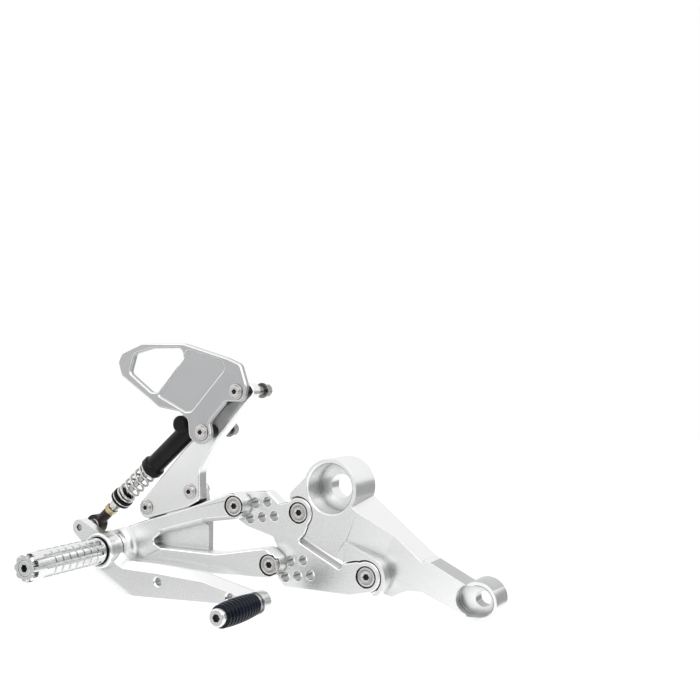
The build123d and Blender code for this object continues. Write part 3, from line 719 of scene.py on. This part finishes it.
def rib_tree():
    """A row of ribs whose radius swells towards the middle of the row."""
    if "ribbed_sleeve" in bpy.data.node_groups:
        return bpy.data.node_groups["ribbed_sleeve"]
    tree, source, result = tree_with(
        "ribbed_sleeve",
        [
            ("Rib", "NodeSocketObject"), ("Count", "NodeSocketInt"), ("Pitch", "NodeSocketFloat"),
            ("Taper", "NodeSocketFloat"), ("Finish", "NodeSocketMaterial"),
        ],
    )
    links = tree.links
    step = tree.nodes.new("ShaderNodeCombineXYZ")
    links.new(source.outputs["Pitch"], step.inputs["Z"])
    row = tree.nodes.new("GeometryNodeMeshLine")
    links.new(source.outputs["Count"], row.inputs["Count"])
    links.new(step.outputs["Vector"], row.inputs["Offset"])
    index = tree.nodes.new("GeometryNodeInputIndex")
    centre = reckoned(tree, "ADD", index.outputs["Index"], 0.5)
    middle = reckoned(tree, "DIVIDE", centre, source.outputs["Count"])
    side = reckoned(tree, "SUBTRACT", reckoned(tree, "MULTIPLY", middle, 2.0), 1.0)
    fall = reckoned(tree, "MULTIPLY", reckoned(tree, "POWER", side, 2.0), source.outputs["Taper"])
    swell = reckoned(tree, "SUBTRACT", 1.0, fall)
    size = tree.nodes.new("ShaderNodeCombineXYZ")
    links.new(swell, size.inputs["X"])
    links.new(swell, size.inputs["Y"])
    size.inputs["Z"].default_value = 1.0
    rib = tree.nodes.new("GeometryNodeObjectInfo")
    links.new(source.outputs["Rib"], rib.inputs["Object"])
    spots = tree.nodes.new("GeometryNodeInstanceOnPoints")
    links.new(row.outputs["Mesh"], spots.inputs["Points"])
    links.new(rib.outputs["Geometry"], spots.inputs["Instance"])
    links.new(size.outputs["Vector"], spots.inputs["Scale"])
    close_tree(tree, spots.outputs["Instances"], source, result)
    return tree


def close_tree(tree, geometry, source, result):
    """Ends a tree with realised instances and its finish."""
    real = tree.nodes.new("GeometryNodeRealizeInstances")
    paint = tree.nodes.new("GeometryNodeSetMaterial")
    tree.links.new(geometry, real.inputs["Geometry"])
    tree.links.new(real.outputs["Geometry"], paint.inputs["Geometry"])
    tree.links.new(source.outputs["Finish"], paint.inputs["Material"])
    tree.links.new(paint.outputs["Geometry"], result.inputs["Geometry"])


def turned(name, rings, sides):
    """A pattern piece about local z from rings of (radius, height, corners), 0 corners being round.

    Faces between the centre of its top and a ring with corners are marked as its socket.
    """
    shape = bmesh.new()
    socket = shape.faces.layers.bool.new("socket")
    deep = rings[0][0] == 0
    loops = []
    for radius, height, corners in rings:
        if radius == 0:
            loops.append([shape.verts.new((0, 0, height))])
            continue
        loop = []
        for side in range(sides):
            angle = math.tau * side / sides
            reach = radius
            if corners:
                half = math.pi / corners
                reach = radius * math.cos(half) / math.cos(angle % (2 * half) - half)
            loop.append(shape.verts.new((reach * math.cos(angle), reach * math.sin(angle), height)))
        loops.append(loop)
    for strip, (lower, upper) in enumerate(zip(loops, loops[1:])):
        deep = deep and rings[strip + 1][2] > 0
        for side in range(sides):
            following = (side + 1) % sides
            if len(lower) == 1:
                face = shape.faces.new((lower[0], upper[following], upper[side]))
            elif len(upper) == 1:
                face = shape.faces.new((lower[side], lower[following], upper[0]))
            else:
                face = shape.faces.new((lower[side], lower[following], upper[following], upper[side]))
            face[socket] = deep
    bmesh.ops.remove_doubles(shape, verts=shape.verts, dist=1e-7)
    piece = new_object(name, mesh_from(name, shape))
    smoothed(piece.data, 32)
    return piece


def set_of(node, pattern, finish_name, inner=False):
    """Makes a CAD node's like pieces, each a copy of a pattern with its local z outboard."""
    shape = bmesh.new()
    for low, high in solids_of(node):
        middle = (low + high) / 2
        shape.verts.new((middle.x, middle.z, -high.y if inner else -low.y))
    places = bpy.data.meshes.new(node)
    shape.to_mesh(places)
    shape.free()
    finishes = {"Finish": finish(finish_name), "Socket Finish": finish("deep_socket")}
    pieces = grown(node + "_finished", places, set_tree(), {"Piece": pattern, **finishes})
    bpy.data.objects.remove(pattern)
    pieces.data.transform(outboard_turn)
    settle(pieces, node)


def along_cylinder(node):
    """Where a CAD node starts and ends along the cylinder's axis."""
    reach = [(vert.co - pin).dot(cylinder_axis) for vert in frame["nodes"][node].data.vertices]
    return min(reach), max(reach)


def coil_spring(node, turns, wire, radius):
    """A CAD node's coil spring, and where it starts and ends along the cylinder's axis."""
    start, end = along_cylinder(node)
    spring = grown(
        node + "_finished",
        bpy.data.meshes.new(node),
        coil_tree(),
        {
            "Turns": turns, "Coil Radius": radius, "Wire Radius": wire / 2, "Length": end - start - wire,
            "Finish": finish("chrome"),
        },
    )
    spring.data.transform(cylinder_frame @ Matrix.Translation((0, 0, start + wire / 2)))
    smoothed(spring.data, 60)
    settle(spring, node)
    return spring, start, end


# Pieces


class REARSET_OT_plates(bpy.types.Operator):
    """Plates, guard bracket and brake pedal in blasted aluminium with bright bevels"""

    bl_idname = "rearset.plates"
    bl_label = "Plates"

    def execute(self, context):
        edge = context.scene.rear_set_sizes.plate_edge
        names = ["blasted_aluminium", "matt_aluminium", "shaded_aluminium", "bright_wall", "cut_edge"]
        finishes = [finish(name) for name in names]
        bright = names.index("cut_edge")
        for node in ["frame_plate", "adjuster_plate", "step_plate", "guard_bracket", "brake_pedal"]:
            plate = edged(node, edge, finishes, whole=node not in ["frame_plate", "step_plate"])
            bright_slopes(plate, bright, keep_off=(pivot, hub_reach))
            if node == "frame_plate":
                # Painted highlight on the frame plate's upper facet, which looks up
                bright_slopes(plate, bright, low=0.12, high=0.24)
            for face in plate.data.polygons:
                special = self.special_finish(node, face)
                if special:
                    face.material_index = names.index(special)
        return {"FINISHED"}

    def special_finish(self, node, face):
        """The finish of the faces that lie in a gap or in another piece's shade: painted light where they would
        mirror dark parts, painted shade on the frame plate's arm.
        """
        if node == "guard_bracket" and face.normal.y < outboard_limit:
            return "matt_aluminium"
        if node == "adjuster_plate" and face.normal.dot(slot_wall) > wall_limit:
            return "bright_wall"
        on_top = face.normal.z > 0.6 and abs(face.normal.y) < 0.05
        if node == "frame_plate" and on_top and face.center.x > shaded_from_x:
            return "shaded_aluminium"
        return None


class REARSET_OT_heel_guard(bpy.types.Operator):
    """Heel guard in grey satin aluminium"""

    bl_idname = "rearset.heel_guard"
    bl_label = "Heel Guard"

    def execute(self, context):
        edge = context.scene.rear_set_sizes.plate_edge
        names = ["guard_aluminium", "guard_panel", "cut_edge"]
        guard = edged("heel_guard", edge, [finish(name) for name in names])
        front = min(vert.co.y for vert in guard.data.vertices)
        least_depth = 0.8 * MM
        most_depth = 3 * MM
        for face in guard.data.polygons:
            depth = face.center.y - front
            if face.normal.y < outboard_limit and least_depth < depth < most_depth:
                face.material_index = names.index("guard_panel")
        bright_slopes(guard, names.index("cut_edge"))
        return {"FINISHED"}


class REARSET_OT_fasteners(bpy.types.Operator):
    """Screws, nuts and bolts"""

    bl_idname = "rearset.fasteners"
    bl_label = "Fasteners"

    def execute(self, context):
        edge = context.scene.rear_set_sizes.fine_edge
        self.sides = context.scene.rear_set_sizes.screw_sides
        for node in ["adjuster_screws", "step_screws"]:
            set_of(node, self.flat_screw(self.length(node)), "stainless_steel")
        for node in ["bracket_screws", "guard_screws"]:
            set_of(node, self.button_screw(self.length(node)), "stainless_steel")
        for node in ["bracket_nuts", "guard_nuts"]:
            set_of(node, self.flange_nut(self.length(node)), "plated_steel", inner=True)
        edged("guard_spacers", edge, [finish("plated_steel")])
        names = ["turned_aluminium", "deep_socket", "cut_edge"]
        for node in ["toe_peg_bolt", "footpeg_bolt"]:
            bolt = edged(node, edge, [finish(name) for name in names])
            paint_socket_shade(bolt, names.index("deep_socket"), reach=3.6 * MM, depth=4.5 * MM)
        return {"FINISHED"}

    def length(self, node):
        """How long a fastener is, in millimetres."""
        low, high = solids_of(node)[0]
        return (high.y - low.y) / MM

    def pattern(self, name, rings):
        """A turned pattern from rings in millimetres."""
        rings = [(radius * MM, height * MM, corners) for radius, height, corners in rings]
        return turned(name, rings, self.sides)

    def flat_screw(self, length):
        """An M8 screw with a thin flat head, a turned ring on it and a hexagon socket."""
        return self.pattern("flat_screw", [
            (0, -3.4, 0), (2.75, -2.7, 6), (2.89, -0.35, 6), (3.3, 0, 0), (5.1, 0, 0), (5.35, -0.3, 0),
            (5.95, -0.3, 0), (6.2, 0, 0), (7.3, 0, 0), (7.8, -0.25, 0), (8, -0.7, 0), (8, -4, 0),
            (4, -4, 0), (4, -length + 0.5, 0), (3.5, -length, 0), (0, -length, 0),
        ])

    def button_screw(self, length):
        """An M6 screw with a low flanged head and a hexagon socket."""
        return self.pattern("button_screw", [
            (0, -2, 0), (2.15, -1.7, 6), (2.31, -0.3, 6), (2.65, 0, 0), (4.1, 0, 0), (4.6, -0.12, 0),
            (5.05, -0.55, 0), (5.25, -1.5, 0), (5.5, -1.75, 0), (6.2, -1.85, 0), (6.5, -2.1, 0),
            (6.5, -2.8, 0), (3, -2.8, 0), (3, -length + 0.5, 0), (2.5, -length, 0), (0, -length, 0),
        ])

    def flange_nut(self, height):
        """An M6 nut with a round flange, its threaded end inboard."""
        return self.pattern("flange_nut", [
            (3.06, height, 0), (6.4, height, 0), (6.6, height - 0.2, 0), (6.6, height - 0.9, 0),
            (5.95, height - 1.6, 0), (5.77, height - 1.8, 6), (5.77, 0.7, 6), (5.1, 0, 0), (3.5, 0, 0),
            (3.06, 0.45, 0), (3.06, height, 0),
        ])


class REARSET_OT_footpeg(bpy.types.Operator):
    """Footpeg and the rings of the pedal's pivot"""

    bl_idname = "rearset.footpeg"
    bl_label = "Footpeg"

    def execute(self, context):
        edge = context.scene.rear_set_sizes.fine_edge
        edged("footpeg", edge, [finish("turned_aluminium")])
        edged("pivot_sleeve", edge, [finish("stainless_steel")])
        edged("thrust_washer", edge, [finish("stainless_steel")])
        edged("pivot_seal", edge, [finish("rubber")])
        edged("pedal_bush", edge, [finish("bronze")])
        return {"FINISHED"}


class REARSET_OT_toe_peg(bpy.types.Operator):
    """Toe peg's core and ribbed rubber"""

    bl_idname = "rearset.toe_peg"
    bl_label = "Toe Peg"

    def execute(self, context):
        edge = context.scene.rear_set_sizes.fine_edge
        edged("toe_peg_core", edge, [finish("turned_aluminium")])
        self.ribbed_rubber(context.scene.rear_set_sizes)
        return {"FINISHED"}

    def ribbed_rubber(self, sizes):
        """The rubber sleeve as a row of rounded ribs that swells towards its middle."""
        low, high = solids_of("toe_peg_rubber")[0]
        middle = (low + high) / 2
        crest = (high.x - low.x) / 2
        pitch = (high.y - low.y) / sizes.toe_ribs
        bore = 6 * MM
        valley = crest - 1.7 * MM
        round_off = 0.35 * MM
        taper = 1.2 * MM / crest
        rib = turned(
            "toe_rib",
            [
                (bore, 0, 0), (valley, 0, 0), (valley + round_off, 0.06 * pitch, 0),
                (crest - round_off, 0.2 * pitch, 0), (crest - 0.25 * round_off, 0.27 * pitch, 0),
                (crest, 0.38 * pitch, 0), (crest, 0.62 * pitch, 0),
                (crest - 0.25 * round_off, 0.73 * pitch, 0), (crest - round_off, 0.8 * pitch, 0),
                (valley + round_off, 0.94 * pitch, 0), (valley, pitch, 0), (bore, pitch, 0), (bore, 0, 0),
            ],
            sizes.screw_sides,
        )
        rubber = grown(
            "toe_peg_rubber_finished",
            bpy.data.meshes.new("toe_peg_rubber"),
            rib_tree(),
            {
                "Rib": rib, "Count": sizes.toe_ribs, "Pitch": pitch, "Taper": taper,
                "Finish": finish("toe_rubber"),
            },
        )
        bpy.data.objects.remove(rib)
        rubber.data.transform(Matrix.Translation((middle.x, high.y, middle.z)) @ outboard_turn)
        smoothed(rubber.data, 50)
        settle(rubber, "toe_peg_rubber")


class REARSET_OT_master_cylinder(bpy.types.Operator):
    """Master cylinder's body and what is in its bore"""

    bl_idname = "rearset.master_cylinder"
    bl_label = "Master Cylinder"

    def execute(self, context):
        edge = context.scene.rear_set_sizes.fine_edge
        edged("master_body", 2 * edge, [finish("black_body")])
        edged("inlet_cap", edge, [finish("black_plastic")])
        edged("piston", edge, [finish("turned_aluminium")])
        edged("circlip", edge, [finish("black_oxide")])
        edged("stop_washer", edge, [finish("stainless_steel")])
        for node in ["dust_boot", "rear_cup", "front_cup"]:
            edged(node, edge, [finish("rubber")])
        return {"FINISHED"}


class REARSET_OT_push_rod(bpy.types.Operator):
    """Rod end, push rod and the spring's seat"""

    bl_idname = "rearset.push_rod"
    bl_label = "Push Rod"

    def execute(self, context):
        edge = context.scene.rear_set_sizes.fine_edge
        edged("rod_end", edge, [finish("phosphate")])
        edged("spring_seat", edge, [finish("black_plastic")])
        edged("lock_nut", edge, [finish("yellow_zinc")])
        for node in ["push_rod", "seat_cone", "seat_ring"]:
            edged(node, edge, [finish("chrome")])
        for node in ["rod_end_ball", "rod_end_spacer", "rod_end_bolt"]:
            edged(node, edge, [finish("stainless_steel")])
        return {"FINISHED"}


class REARSET_OT_springs(bpy.types.Operator):
    """Return spring and piston spring at their CAD nodes' length; the real ones shorten as the pedal goes down"""

    bl_idname = "rearset.springs"
    bl_label = "Springs"

    def execute(self, context):
        sizes = context.scene.rear_set_sizes
        springs = {
            "return_spring": (sizes.spring_turns, sizes.spring_wire, sizes.spring_radius),
            "piston_spring": (
                sizes.piston_spring_turns, sizes.piston_spring_wire, sizes.piston_spring_radius
            ),
        }
        for node, measures in springs.items():
            spring, start, end = coil_spring(node, *measures)
            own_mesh(spring)
        return {"FINISHED"}


class REARSET_OT_stage(bpy.types.Operator):
    """Floor, world, lamps, cards and camera"""

    bl_idname = "rearset.stage"
    bl_label = "Stage"

    def execute(self, context):
        stage = context.scene.rear_set_stage
        context.scene.view_settings.view_transform = "Standard"
        self.lay_floor(cad_box[0].z - stage.floor_drop, stage.floor_white)
        self.light_world(context, stage)
        for name, (place, width, share) in lamps.items():
            self.hang_lamp(name, place, width, share * stage.key_power)
        for name, (place, size) in cards.items():
            self.stand_card(name, place, size, getattr(stage, name))
        self.place_camera(context, stage)
        return {"FINISHED"}

    def lay_floor(self, level, white):
        """A wide pale floor that shows white and keeps the object's shadow."""
        shape = bmesh.new()
        bmesh.ops.create_grid(shape, x_segments=1, y_segments=1, size=6.0)
        bmesh.ops.translate(shape, verts=shape.verts, vec=(0, 0, level))
        floor = new_object("floor", mesh_from("floor", shape))
        material, tree, shader = blank_finish("pale_floor")
        shader.inputs["Base Color"].default_value = (0.93, 0.93, 0.93, 1)
        shader.inputs["Roughness"].default_value = 0.9
        shader.inputs["Specular IOR Level"].default_value = 0.1
        glow = tree.nodes.new("ShaderNodeEmission")
        strength = reckoned(tree, "MULTIPLY", self.seen_rays(tree), white)
        tree.links.new(strength, glow.inputs["Strength"])
        both = tree.nodes.new("ShaderNodeAddShader")
        tree.links.new(shader.outputs["BSDF"], both.inputs[0])
        tree.links.new(glow.outputs["Emission"], both.inputs[1])
        tree.links.new(both.outputs["Shader"], tree.nodes["Material Output"].inputs["Surface"])
        floor.data.materials.append(material)

    def seen_rays(self, tree):
        """1 for rays from the camera and for mirrored and refracted ones."""
        rays = tree.nodes.new("ShaderNodeLightPath")
        value = rays.outputs["Is Camera Ray"]
        for kind in ["Is Glossy Ray", "Is Transmission Ray"]:
            value = reckoned(tree, "MAXIMUM", value, rays.outputs[kind])
        return value

    def stand_card(self, name, place, size, brightness):
        """An upright card that the camera doesn't see and that only mirrors in the metal."""
        centre = (cad_box[0] + cad_box[1]) / 2
        way = Vector((centre.x - place[0], centre.y - place[1], 0))
        facing = Matrix.Translation(place) @ way.to_track_quat("Z", "Y").to_matrix().to_4x4()
        shape = bmesh.new()
        bmesh.ops.create_grid(shape, x_segments=1, y_segments=1, size=0.5)
        bmesh.ops.scale(shape, verts=shape.verts, vec=(size[0], size[1], 1))
        bmesh.ops.transform(shape, verts=shape.verts, matrix=facing)
        mesh = bpy.data.meshes.new(name)
        shape.to_mesh(mesh)
        shape.free()
        card = new_object(name, mesh)
        material, _, shader = blank_finish(name)
        shader.inputs["Base Color"].default_value = (0, 0, 0, 1)
        shader.inputs["Specular IOR Level"].default_value = 0
        shader.inputs["Emission Color"].default_value = (1, 1, 1, 1)
        shader.inputs["Emission Strength"].default_value = brightness
        mesh.materials.append(material)
        card.visible_camera = False
        card.visible_diffuse = False
        card.visible_transmission = False
        card.visible_shadow = False

    def light_world(self, context, stage):
        """An even sky that shows white to the camera and in the metal."""
        world = bpy.data.worlds.new("studio")
        context.scene.world = world
        world.use_nodes = True
        tree = world.node_tree
        tree.nodes.clear()
        soft = tree.nodes.new("ShaderNodeBackground")
        soft.inputs["Strength"].default_value = stage.sky_light
        white = tree.nodes.new("ShaderNodeBackground")
        white.inputs["Strength"].default_value = 1.0
        for light in [soft, white]:
            light.inputs["Color"].default_value = (1, 1, 1, 1)
        mix = tree.nodes.new("ShaderNodeMixShader")
        output = tree.nodes.new("ShaderNodeOutputWorld")
        tree.links.new(self.seen_rays(tree), mix.inputs["Fac"])
        tree.links.new(soft.outputs["Background"], mix.inputs[1])
        tree.links.new(white.outputs["Background"], mix.inputs[2])
        tree.links.new(mix.outputs["Shader"], output.inputs["Surface"])

    def hang_lamp(self, name, place, size, power):
        lamp = bpy.data.lights.new(name, "AREA")
        lamp.energy = power
        lamp.shape = "SQUARE"
        lamp.size = size
        holder = new_object(name, lamp)
        holder.location = place
        centre = (cad_box[0] + cad_box[1]) / 2
        holder.rotation_euler = (centre - Vector(place)).to_track_quat("-Z", "Y").to_euler()

    def place_camera(self, context, stage):
        camera = bpy.data.cameras.new("camera")
        camera.lens = stage.focal_length
        camera.sensor_width = 36.0
        camera.clip_start = 0.01
        holder = new_object("camera", camera)
        place = Vector(stage.camera_place)
        aim = (Vector(stage.camera_aim) - place).to_track_quat("-Z", "Y").to_matrix().to_4x4()
        roll = Matrix.Rotation(stage.camera_roll, 4, "Z")
        holder.matrix_world = Matrix.Translation(place) @ aim @ roll
        context.scene.camera = holder


class REARSET_PT_panel(bpy.types.Panel):
    """Lists the pieces of the rear set"""

    bl_idname = "REARSET_PT_panel"
    bl_label = "Rear Set"
    bl_space_type = "VIEW_3D"
    bl_region_type = "UI"
    bl_category = "Rear Set"

    def draw(self, context):
        for operator in piece_operators:
            self.layout.operator(operator.bl_idname)


piece_operators = [
    REARSET_OT_plates,
    REARSET_OT_heel_guard,
    REARSET_OT_fasteners,
    REARSET_OT_footpeg,
    REARSET_OT_toe_peg,
    REARSET_OT_master_cylinder,
    REARSET_OT_push_rod,
    REARSET_OT_springs,
    REARSET_OT_stage,
]
property_groups = {
    "rear_set_sizes": RearSetSizes,
    "rear_set_finishes": RearSetFinishes,
    "rear_set_stage": RearSetStage,
}


def register():
    for group in property_groups.values():
        bpy.utils.register_class(group)
    for name, group in property_groups.items():
        setattr(bpy.types.Scene, name, PointerProperty(type=group))
    for operator in piece_operators:
        bpy.utils.register_class(operator)
    bpy.utils.register_class(REARSET_PT_panel)


def unregister():
    bpy.utils.unregister_class(REARSET_PT_panel)
    for operator in reversed(piece_operators):
        bpy.utils.unregister_class(operator)
    for name, group in property_groups.items():
        delattr(bpy.types.Scene, name)
        bpy.utils.unregister_class(group)


def main():
    register()
    bpy.ops.rearset.plates()
    bpy.ops.rearset.heel_guard()
    bpy.ops.rearset.fasteners()
    bpy.ops.rearset.footpeg()
    bpy.ops.rearset.toe_peg()
    bpy.ops.rearset.master_cylinder()
    bpy.ops.rearset.push_rod()
    bpy.ops.rearset.springs()
    bpy.ops.rearset.stage()


if __name__ == "__main__":
    main()
